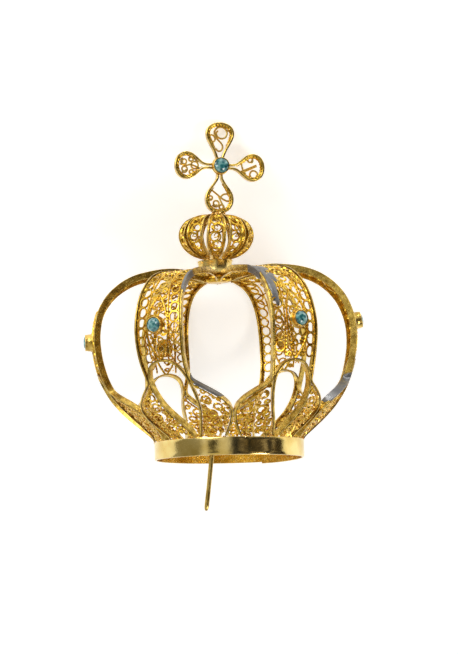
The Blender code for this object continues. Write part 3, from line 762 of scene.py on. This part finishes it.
# ---- band ----
def make_band():
    piece = Piece("band_strip", 7)
    n = 360
    t = np.linspace(0, 1, n + 1)
    a = np.radians(BAND_SEAM_AT + 0.12 + 359.76 * t)
    drop = -BAND_SEAM_STEP * smoothstep((t - 0.84) / 0.16)
    ro, ri, h, c = BAND_R, BAND_R - BAND_WALL, BAND_HEIGHT, 0.12
    section = [(ri, 0.08), (ri + 0.1, 0), (ro - c, 0), (ro - 0.03, 0.05), (ro, c)]
    section += [(ro, h * f) for f in (0.2, 0.35, 0.5, 0.65, 0.8)]
    section += [(ro, h - c), (ro - 0.03, h - 0.05), (ro - c, h), (ri + 0.1, h), (ri, h - 0.08)]
    section += [(ri, h * f) for f in (0.8, 0.5, 0.2)]
    section = np.array(section)
    mid = np.sin(np.clip(section[:, 1] / h, 0, 1) * math.pi)
    dent = 0.02 * np.sin(a * 5 + 1.1) + 0.014 * np.sin(a * 11 + 0.4) + 0.008 * np.sin(a * 23 + 2)
    edge = 0.03 * np.sin(a * 7 + 0.5) + 0.02 * np.sin(a * 17)
    r = section[None, :, 0] + dent[:, None] - 0.03 * mid[None] * (section[None, :, 0] > ro - 0.2)
    r = np.minimum(r, BAND_R + 0.01)
    z = section[None, :, 1] + drop[:, None] + (edge * 0.6)[:, None] * (section[None, :, 1] > h / 2)
    grid = np.stack([r * np.sin(a)[:, None], -r * np.cos(a)[:, None], z], -1)
    piece.rows(grid)
    # solder grains where the lobes meet the band's upper edge
    rng = piece.rng

    def rim(u, s, depth):
        return np.stack([(BAND_R - depth) * np.sin(u), -(BAND_R - depth) * np.cos(u), s], -1)

    spots = []
    for k in range(6):
        foot = math.radians(FOOT_YAW + 60 * k)
        for side, reach in ((-1, 0.36), (1, 0.36), (0, 0.04)):
            for _ in range(7):
                spots.append((foot + side * reach + rng.normal(0, 0.05), BAND_HEIGHT + rng.uniform(-0.12, 0.2)))
    spots = np.array(spots)
    granules(piece, rim, spots, rng.uniform(0.14, 0.34, len(spots)), rng.uniform(0.1, 0.5, len(spots)), slot=1)
    obj = piece.make((GOLD_BAND, GOLD_GRAIN, GOLD_INNER), ("band",), 30)
    # the inner wall was never polished
    k = len(section)
    for face in range(n * k):
        if face % k >= 14:
            obj.data.polygons[face].material_index = 2


# ---- hub and collar ----
def lean_matrix(x, z):
    p = lean(np.array(float(x)), np.array(0.0), np.array(float(z)))
    return Matrix.Translation(Vector(p)) @ Matrix.Rotation(-math.radians(CAGE_LEAN), 4, "Y")


def make_hub():
    turned(
        "hub_boss",
        [(0, 0), (HUB_R - 0.6, 0), (HUB_R - 0.25, 0.18), (HUB_R, 0.5), (HUB_R + 0.02, 1.1), (HUB_R - 0.08, 1.6), (HUB_R - 0.35, 1.88), (0, 1.9)],
        lean_matrix(0, 44.9), 48, (GOLD_WIRE,), "hub", 0.008, 21,
    )
    low, high = COLLAR_Z
    h = high - low
    piece = Piece("collar_ring", 22)
    steps = 120
    a = np.arange(steps) * 2 * math.pi / steps
    profile = np.array([
        (COLLAR_R - 0.35, 0), (COLLAR_R - 0.12, 0.1), (COLLAR_R, 0.3), (COLLAR_R - 0.04, 0.55), (COLLAR_R - 0.18, 0.85),
        (COLLAR_R - 0.24, h * 0.4), (COLLAR_R - 0.25, h * 0.5), (COLLAR_R - 0.24, h * 0.62), (COLLAR_R - 0.15, h * 0.78),
        (COLLAR_R - 0.02, h - 0.3), (COLLAR_R, h - 0.15), (COLLAR_R - 0.15, h),
    ])
    r = profile[:, 0:1] * (1 + 0.004 * (np.sin(a * 7) + np.sin(a * 13 + 1))[None])
    grid = np.stack([np.maximum(r, 1e-3) * np.cos(a), np.maximum(r, 1e-3) * np.sin(a), profile[:, 1:2] * np.ones(steps)], -1)
    m = np.array(lean_matrix(-0.55, low))
    piece.rows(grid @ m[:3, :3].T + m[:3, 3])
    rng = piece.rng

    def rim(u, s, depth):
        p = np.stack([(COLLAR_R - depth) * np.cos(u), (COLLAR_R - depth) * np.sin(u), s], -1)
        return p @ m[:3, :3].T + m[:3, 3]

    u = rng.uniform(0, 6.28, 70)
    granules(piece, rim, np.stack([u, rng.uniform(0.02, 0.3, 70) + (rng.uniform(0, 1, 70) < 0.4) * (h - 0.4)], -1), rng.uniform(0.12, 0.26, 70), rng.uniform(0.0, 0.3, 70), slot=1)
    piece.make((GOLD_COLLAR, GOLD_GRAIN), ("collar",), 30)


# ---- orb ----
PETAL = Meridian(PETAL_PROFILE)


def petal_width(s):
    t = np.clip(s / PETAL.length, 0, 1)
    return 0.32 + 0.4 * (1 - t) + 1.9 * np.sin(math.pi * t) ** 0.95


def make_petal(index, azimuth):
    piece = Piece(f"orb_petal_{index}_filigree", 500 + index)
    rng = piece.rng
    m = np.array(Matrix.Translation(ORB_CENTRE) @ Matrix.Rotation(math.radians(-ORB_TILT), 4, "Y"))

    def place(u, s, depth):
        r, z, nr, nz = PETAL.at(s)
        a = math.radians(azimuth) + u / r
        rr, zz = r + depth * nr, z + depth * nz
        p = np.stack(np.broadcast_arrays(rr * np.sin(a), -rr * np.cos(a), zz), -1)
        return p @ m[:3, :3].T + m[:3, 3]

    s = np.linspace(0, PETAL.length, 44)
    for side in (-1, 1):
        path = np.stack([side * np.maximum(petal_width(s) - PETAL_STRIP_T / 2, 0.13), s], -1)
        wire(piece, place, path, 0, strip_section(PETAL_STRIP_T, 0.0, PETAL_DEPTH, 0.09), slot=1, uneven=0.02)
        inner = s[4:-5]
        path = np.stack([side * (petal_width(inner) - PETAL_STRIP_T - 0.1), inner], -1)
        wire(piece, place, path, 0.4, round_section(0.12, 5), twist=0.7)

    # a stack of curls up the middle, turned left and right by turns
    at, flip = 2.3, 1
    curls = []
    while at < PETAL.length - 2.6:
        room = float(petal_width(np.array(at))) - PETAL_STRIP_T - 0.1
        r = min(1.45, max(0.42, room * 0.82))
        u = flip * max(room - r, 0) * 0.95
        curls.append((u, at, r))
        wire(piece, place, circle((u, at), r - 0.1, 24), 0.42, round_section(0.22, 6), closed=True)
        path = circle((u - flip * r * 0.25, at + r * 0.2), r * 0.6, 16, 1.0 + flip, 0.5, 0.75)
        wire(piece, place, path, 0.45, round_section(0.17, 6))
        at += r * 1.78
        flip = -flip

    def inside(u, s, r):
        return (np.abs(u) + r < petal_width(s) - PETAL_STRIP_T + 0.02) & (s - r > 0.5) & (s + r < PETAL.length - 0.8)

    found = pack(rng, inside, (-2, 2, 0.6, PETAL.length - 1), (0.6, 0.42), (110, 70), taken=curls, gap=-0.12)
    fill(piece, place, found, 0.5, 0.16)
    n = 5
    spots = np.stack([rng.uniform(-1.4, 1.4, n), rng.uniform(1.2, PETAL.length - 1.2, n)], -1)
    keep = np.abs(spots[:, 0]) < petal_width(spots[:, 1]) - 0.5
    spots = spots[keep]
    granules(piece, place, spots, rng.uniform(0.1, 0.18, len(spots)), rng.uniform(0.25, 0.5, len(spots)), slot=2)
    # the petals' ends are soldered together under the cross and over the collar
    ends = np.stack([rng.normal(0, 0.3, 8), np.concatenate([rng.uniform(0.1, 0.6, 4), rng.uniform(PETAL.length - 0.7, PETAL.length - 0.1, 4)])], -1)
    granules(piece, place, ends, rng.uniform(0.16, 0.26, 8), rng.uniform(0.2, 0.5, 8), slot=2)
    piece.make((GOLD_ORB, GOLD_STRIP, GOLD_GRAIN), (f"orb_petal_{index}",))


# ---- cross ----
CROSS = (
    Matrix.Translation(CROSS_CENTRE)
    @ Matrix.Rotation(math.radians(CROSS_YAW), 4, "Z")
    @ Matrix.Rotation(math.radians(CROSS_TILT), 4, "Y")
)


def loop_line(outline, count, inset):
    """A line inside the loop's outline, everywhere the same distance in."""
    shut = list(outline) + [(-x, y) for x, y in reversed(outline[:-1])]
    n = len(shut)
    dense = []
    for k in range(n):
        p0, p1, p2, p3 = (np.array(shut[(k + j) % n], float) for j in (-1, 0, 1, 2))
        for step in range(12):
            t = step / 12
            dense.append(0.5 * (2 * p1 + (p2 - p0) * t + (2 * p0 - 5 * p1 + 4 * p2 - p3) * t**2 + (3 * p1 - p0 - 3 * p2 + p3) * t**3))
    dense = np.array(dense)
    tangent = directions(dense, True)
    inward = np.stack([-tangent[:, 1], tangent[:, 0]], -1)
    dense = dense + inward * np.minimum(inset, np.maximum(np.abs(dense[:, 0]) * 0.9, np.where(dense[:, 1] > 5, 9.0, 0.1)))[:, None]
    dense = np.concatenate([dense, dense[:1]])
    run = np.concatenate([[0], np.cumsum(np.linalg.norm(np.diff(dense, axis=0), axis=1))])
    want = np.arange(count) / count * run[-1]
    return np.stack([np.interp(want, run, dense[:, 0]), np.interp(want, run, dense[:, 1])], -1)


def bezier(points, count=26):
    """A smooth curve through a few points."""
    p = np.array(points, float)
    p = np.concatenate([[2 * p[0] - p[1]], p, [2 * p[-1] - p[-2]]])
    out = []
    n = len(p) - 3
    for k in range(n):
        for t in np.linspace(0, 1, max(count // n, 2), endpoint=False):
            a, b, c, d = p[k : k + 4]
            out.append(0.5 * (2 * b + (c - a) * t + (2 * a - 5 * b + 4 * c - d) * t**2 + (3 * b - a - 3 * c + d) * t**3))
    out.append(p[-2])
    return np.array(out)


def make_loop(name, node, turn, outline, scrolls, seed):
    piece = Piece(name, seed)
    rng = piece.rng
    m = np.array(CROSS)
    c, s_ = math.cos(turn), math.sin(turn)

    def place(u, s, depth):
        x, z = u * c + s * s_, -u * s_ + s * c
        p = np.stack(np.broadcast_arrays(x, depth, z), -1)
        return p @ m[:3, :3].T + m[:3, 3]

    line = loop_line(outline, 120, CROSS_STRIP_T / 2)
    wire(piece, place, line, 0, strip_section(CROSS_STRIP_T, -CROSS_DEPTH / 2, CROSS_DEPTH / 2, 0.1), closed=True, slot=1)
    # fine twisted wire inside the round end, at the front and again at the back
    inner = loop_line(outline, 200, CROSS_STRIP_T + 0.22)
    length = len(inner)
    part = inner[int(length * 0.17) : int(length * 0.83)]
    for depth in (-0.52, 0.2):
        wire(piece, place, part, depth, round_section(0.29, 6, 0.9), twist=0.8, taper=np.clip(np.sin(np.linspace(0, math.pi, len(part))) * 2.2, 0.35, 1))
    grains = inner[(rng.uniform(0.24, 0.76, 44) * length).astype(int)] * (0.97, 0.995)
    granules(piece, place, grains, rng.uniform(0.09, 0.16, 44), rng.uniform(-0.72, -0.5, 44), slot=2)
    # the scroll wires take the paler gold: painted light that brightens them in shade
    for k, points in enumerate(scrolls):
        wire(piece, place, bezier(points, 44), -0.25 + 0.12 * (k % 3), round_section(0.26, 6, 1.2), slot=3)
    if node == "cross_bottom":
        # grains of solder where the cross stands on the orb
        foot = np.stack([rng.uniform(-1.7, 1.7, 60), rng.uniform(11.6, 12.5, 60)], -1)
        foot[:, 1] -= 0.12 * np.abs(foot[:, 0])
        granules(piece, place, foot, rng.uniform(0.2, 0.4, 60), rng.uniform(-0.75, 0.75, 60), slot=2)
    piece.make((GOLD_WIRE, GOLD_STRIP, GOLD_GRAIN, GOLD_SCROLL_PAINTED_LIGHT), (node,))


def scroll(cx, cy, r, start, turns, inner=0.3, tail=()):
    pts = circle((cx, cy), r, 14, start, turns, inner)[::-1]
    return [tuple(p) for p in pts] + list(tail)


TOP_SCROLLS = (
    ((-0.5, 9.1), (-0.95, 8.6), (-0.7, 7.7), (0.2, 7.15), (1.3, 7.4), (1.85, 8.3), (1.6, 9.4), (0.6, 10.1), (-0.6, 9.9), (-1.4, 9.0), (-1.3, 7.9), (-0.6, 6.9), (0.3, 6.0), (0.75, 5.1), (0.35, 4.1), (-0.5, 3.95), (-1.0, 4.6)),
    ((-2.75, 7.7), (-2.1, 8.05), (-1.4, 7.6), (-1.25, 6.8), (-1.8, 6.2), (-2.3, 6.5)),
    scroll(2.0, 9.7, 0.55, 0, 1.1, 0.8),
)
LEFT_SCROLLS = (
    scroll(0.95, 9.3, 0.85, 0.3, 1.35, 0.5),
    scroll(-1.0, 9.2, 0.9, 2.3, 1.35, 0.5),
    scroll(0.1, 6.5, 0.95, 1.0, 1.05, 0.95),
    scroll(1.55, 7.5, 0.62, 0, 1.2, 0.7),
    scroll(-1.7, 7.4, 0.6, 3, 1.2, 0.7),
    ((-0.6, 5.1), (0.2, 7.5), (0.0, 8.6), (0.3, 10.4)),
)
RIGHT_SCROLLS = (
    ((1.3, 5.2), (0.7, 6.5), (0.1, 7.9), (-0.7, 9.6)),
    ((1.45, 5.5), (0.9, 6.8), (0.3, 8.1), (-0.45, 9.7)),
    ((-1.9, 5.7), (-1.0, 5.75), (0.3, 6.1), (1.4, 6.7), (2.2, 7.1), (2.9, 7.6)),
    scroll(1.75, 8.9, 1.05, 0.5, 1.15, 0.85),
    scroll(-1.9, 8.0, 0.75, 0.5, 1.2, 0.6),
)
LOW_SCROLLS = (
    ((1.9, 6.2), (0.6, 7.2), (-0.7, 8.2), (-2.0, 8.8), (-2.9, 8.6)),
    ((-0.3, 7.9), (-1.0, 7.2), (-2.0, 7.0), (-2.7, 7.5)),
    ((0.2, 7.5), (-0.5, 9.0), (-1.2, 10.3), (-1.5, 11.1)),
    scroll(0.9, 9.5, 0.95, 0.4, 1.3, 0.5),
    scroll(-0.6, 10.4, 0.7, 2.4, 1.2, 0.6),
    scroll(2.3, 8.1, 0.6, 1.0, 1.2, 0.6),
)


def make_pin():
    piece = Piece("pin_wire", 31)
    a, b = np.array(PIN_TOP), np.array(PIN_TIP)
    n = 40
    t = np.linspace(0, 1, n)
    length = np.linalg.norm(b - a)
    z = (a - b) / length
    x = np.cross([0, -1, 0], z)
    x /= np.linalg.norm(x)
    y = np.cross(z, x)
    centre = a[None] + (b - a)[None] * t[:, None] + x[None] * (0.03 * np.sin(t * 7))[:, None]
    r = np.full(n, PIN_R - 0.02)
    r[-1], r[-2], r[-3] = PIN_R * 0.5, PIN_R * 0.78, PIN_R * 0.93
    k = 24
    ang = np.arange(k) * 2 * math.pi / k
    grid = centre[:, None] + r[:, None, None] * (np.cos(ang)[None, :, None] * x + np.sin(ang)[None, :, None] * y)
    piece.rows(grid)
    piece.make((GOLD_PIN,), ("pin",), 40)


make_band()
for k, (azimuth, bulge, press, window, stone_s, stone_u) in enumerate(ARCHES):
    arch = {
        "azimuth": azimuth, "foot": FOOT_YAW + 60 * k, "line": bent_profile(bulge, press), "window": window,
        "stone_s": stone_s, "stone_u": stone_u, "waist": WAIST.get(k + 1, 0.0),
    }
    make_arch(k + 1, arch)
    arch_setting(k + 1, arch)
make_hub()
for k in range(PETAL_COUNT):
    make_petal(k + 1, PETAL_YAW + 360 / PETAL_COUNT * k + PETAL_NUDGE.get(k, 0.0))
make_loop("cross_top_loop", "cross_top", 0.0, LOOP_TOP, TOP_SCROLLS, 61)
make_loop("cross_right_loop", "cross_right", math.pi / 2, LOOP_SIDE, RIGHT_SCROLLS, 62)
make_loop("cross_bottom_loop", "cross_bottom", math.pi, LOOP_LOW, LOW_SCROLLS, 63)
make_loop("cross_left_loop", "cross_left", -math.pi / 2, LOOP_SIDE, LEFT_SCROLLS, 64)
make_setting(
    "cross",
    CROSS @ Matrix.Translation((0, -CROSS_DEPTH / 2 - GAP, 0)) @ Matrix.Rotation(math.pi / 2, 4, "X"),
    CROSS_COLLET_R, CROSS_COLLET_R - 0.15, CROSS_COLLET_H, CROSS_COLLET_R - 0.4, 399,
)
make_pin()

# ---- floor, light, camera ----
bpy.context.scene.view_settings.view_transform = "Standard"
floor_mesh = bpy.data.meshes.new("floor")
floor_mesh.from_pydata([(-2, -2, 0), (2, -2, 0), (2, 2, 0), (-2, 2, 0)], [], [(0, 1, 2, 3)])
floor = bpy.data.objects.new("floor", floor_mesh)
bpy.context.scene.collection.objects.link(floor)
floor.location = (0, 0, -0.0002)
pale = bpy.data.materials.new("pale_floor")
pale.use_nodes = True
pale.node_tree.nodes["Principled BSDF"].inputs["Base Color"].default_value = (0.97, 0.97, 0.965, 1)
pale.node_tree.nodes["Principled BSDF"].inputs["Roughness"].default_value = 0.8
pale.node_tree.nodes["Principled BSDF"].inputs["Emission Color"].default_value = (0.98, 0.99, 1.0, 1)
pale.node_tree.nodes["Principled BSDF"].inputs["Emission Strength"].default_value = 0.46
floor_mesh.materials.append(pale)

world = bpy.data.worlds.new("studio")
bpy.context.scene.world = world
world.use_nodes = True
nodes, links = world.node_tree.nodes, world.node_tree.links
background = nodes["Background"]
where = nodes.new("ShaderNodeTexCoord")


def facing(direction, low, high):
    dot = nodes.new("ShaderNodeVectorMath")
    dot.operation = "DOT_PRODUCT"
    dot.inputs[1].default_value = Vector(direction).normalized()
    links.new(where.outputs["Generated"], dot.inputs[0])
    step = nodes.new("ShaderNodeMapRange")
    step.interpolation_type = "SMOOTHSTEP"
    step.inputs["From Min"].default_value, step.inputs["From Max"].default_value = low, high
    links.new(dot.outputs["Value"], step.inputs["Value"])
    return step.outputs["Result"]


def in_room(x, y, z):
    """A direction given in the upright crown's frame."""
    return LAY3 @ Vector((x, y, z))


def darker(value, by, colour):
    mix = nodes.new("ShaderNodeMix")
    mix.data_type = "RGBA"
    mix.inputs["B"].default_value = (*colour, 1)
    links.new(value, mix.inputs["A"])
    links.new(by, mix.inputs["Factor"])
    return mix.outputs["Result"]


base = nodes.new("ShaderNodeRGB")
base.outputs[0].default_value = (1.0, 0.985, 0.96, 1)
value = base.outputs[0]


def product(*values):
    out = values[0]
    for other in values[1:]:
        times = nodes.new("ShaderNodeMath")
        times.operation = "MULTIPLY"
        links.new(out, times.inputs[0])
        links.new(other, times.inputs[1])
        out = times.outputs["Value"]
    return out


def bearing(degrees):
    a = math.radians(degrees)
    return in_room(math.sin(a), -math.cos(a), 0)


# level with the crown: full from 17 degrees below to 16 above, gone by 33 and 30
level = product(facing(in_room(0, 0, 1), -0.55, -0.30), facing(in_room(0, 0, -1), -0.50, -0.28))
clutter = nodes.new("ShaderNodeTexNoise")
clutter.inputs["Scale"].default_value, clutter.inputs["Detail"].default_value = 7.0, 5.0
links.new(where.outputs["Generated"], clutter.inputs["Vector"])
shades = nodes.new("ShaderNodeValToRGB")
shades.color_ramp.elements[0].position, shades.color_ramp.elements[0].color = 0.42, (0.035, 0.037, 0.040, 1)
shades.color_ramp.elements[1].position, shades.color_ramp.elements[1].color = 0.72, (0.75, 0.66, 0.58, 1)
brown = shades.color_ramp.elements.new(0.56)
brown.color = (0.11, 0.085, 0.06, 1)
links.new(clutter.outputs["Fac"], shades.inputs["Fac"])


def room(value, by):
    mix = nodes.new("ShaderNodeMix")
    mix.data_type = "RGBA"
    links.new(value, mix.inputs["A"])
    links.new(shades.outputs["Color"], mix.inputs["B"])
    links.new(by, mix.inputs["Factor"])
    return mix.outputs["Result"]


value = room(value, product(level, facing(bearing(56), 0.48, 0.66)))
value = darker(value, product(level, facing(bearing(-25), 0.985, 0.997)), (0.09, 0.085, 0.06))
value = darker(value, product(level, facing(bearing(-75), 0.80, 0.90)), (0.42, 0.40, 0.34))
value = darker(value, facing(in_room(-0.15, -1.0, 0.9), 0.95, 0.99), (0.2, 0.2, 0.2))
value = darker(value, facing(in_room(0.5, -0.6, -0.9), 0.86, 0.97), (0.14, 0.12, 0.10))
links.new(value, background.inputs["Color"])
background.inputs["Strength"].default_value = 0.72


def softbox(name, direction, distance, size, power, colour=(1, 1, 1)):
    light = bpy.data.lights.new(name, "AREA")
    light.shape, light.size, light.energy, light.color = "DISK", size, power, colour
    obj = bpy.data.objects.new(name, light)
    bpy.context.scene.collection.objects.link(obj)
    at = in_room(*direction).normalized() * distance + Vector((0, 0, 0.03))
    obj.location = at
    obj.rotation_euler = (at - Vector((0, 0, 0.03))).to_track_quat("Z", "Y").to_euler()
    return obj


softbox("key_light", (-0.65, -1.0, 0.75), 0.55, 0.34, 1.2)
softbox("fill_light", (0.9, -0.75, -0.55), 0.6, 0.25, 0.9, (1.0, 0.96, 0.9))
softbox("rim_light", (0.25, -0.55, 1.0), 0.6, 0.12, 0.8)

camera_data = bpy.data.cameras.new("camera")
camera = bpy.data.objects.new("camera", camera_data)
bpy.context.scene.collection.objects.link(camera)
CAM_D, CAM_E, CAM_ROLL, CAM_F = 1012.5, math.radians(-5.29), math.radians(-1.432), 3991.87
target = Vector((0.683, 0.0, 33.539))
c = Vector((0, -math.cos(CAM_E), math.sin(CAM_E)))
right, up = Vector((1, 0, 0)), Vector((0, math.sin(CAM_E), math.cos(CAM_E)))
cr, sr = math.cos(CAM_ROLL), math.sin(CAM_ROLL)
axes = Matrix((cr * right + sr * up, -sr * right + cr * up, c)).transposed().to_4x4()
axes.translation = target + c * CAM_D
seen = LAY @ axes
seen.translation *= 0.001
camera.matrix_world = seen
camera_data.sensor_fit = "VERTICAL"
camera_data.sensor_height = 24.0
camera_data.sensor_width = 24.0 * 458 / 654
camera_data.lens = CAM_F / 654 * 24.0
camera_data.clip_start, camera_data.clip_end = 0.01, 20
bpy.context.scene.camera = camera
